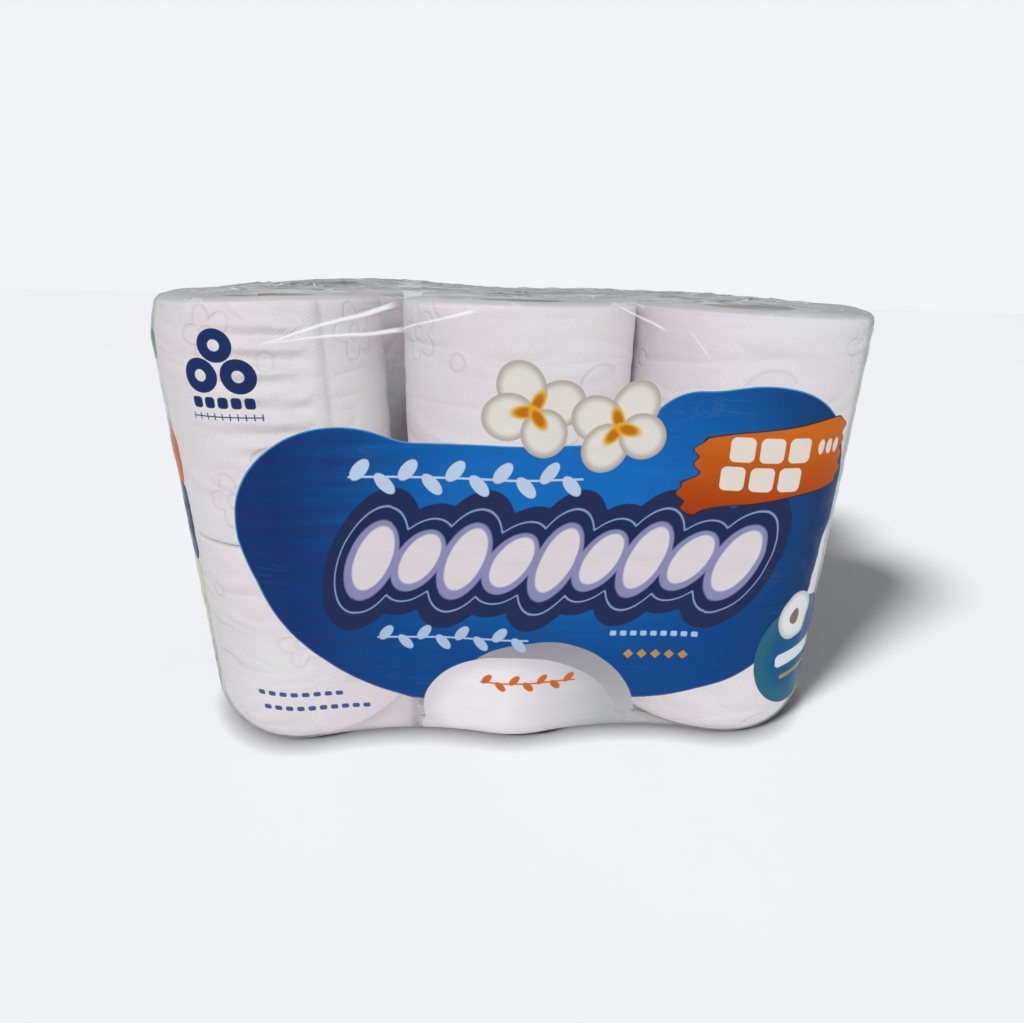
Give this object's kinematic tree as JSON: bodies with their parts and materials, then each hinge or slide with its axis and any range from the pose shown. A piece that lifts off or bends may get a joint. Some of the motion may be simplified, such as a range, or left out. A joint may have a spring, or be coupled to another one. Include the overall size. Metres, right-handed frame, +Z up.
{
  "type": "toilet paper roll pack",
  "caption": "Sealed block of upright toilet paper rolls on cardboard cores, wrapped tight in printed clear film with folded, sealed ends.",
  "frame": {"origin": "middle of the base, on the surface that the pack stands on", "axes": "+X across the front from left to right, +Y from the printed front to the back, +Z up along the rolls' axes"},
  "size_m": [0.3134, 0.2096, 0.2056],
  "materials": {
    "tissue_paper": "soft embossed white tissue",
    "core_board": "grey-brown spiral-wound board",
    "printed_film": "glossy clear film, printed in blue, navy, white and orange"
  },
  "bodies": {
    "root": {"roll_upper_front_left": "tissue_paper", "roll_upper_front_middle": "tissue_paper", "roll_upper_front_right": "tissue_paper", "roll_upper_back_left": "tissue_paper", "roll_upper_back_middle": "tissue_paper", "roll_upper_back_right": "tissue_paper", "roll_lower_front_left": "tissue_paper", "roll_lower_front_middle": "tissue_paper", "roll_lower_front_right": "tissue_paper", "roll_lower_back_left": "tissue_paper", "roll_lower_back_middle": "tissue_paper", "roll_lower_back_right": "tissue_paper", "core_upper_front_left": "core_board", "core_upper_front_middle": "core_board", "core_upper_front_right": "core_board", "core_upper_back_left": "core_board", "core_upper_back_middle": "core_board", "core_upper_back_right": "core_board", "core_lower_front_left": "core_board", "core_lower_front_middle": "core_board", "core_lower_front_right": "core_board", "core_lower_back_left": "core_board", "core_lower_back_middle": "core_board", "core_lower_back_right": "core_board", "film_wrap": "printed_film"}
  },
  "joints": []
}
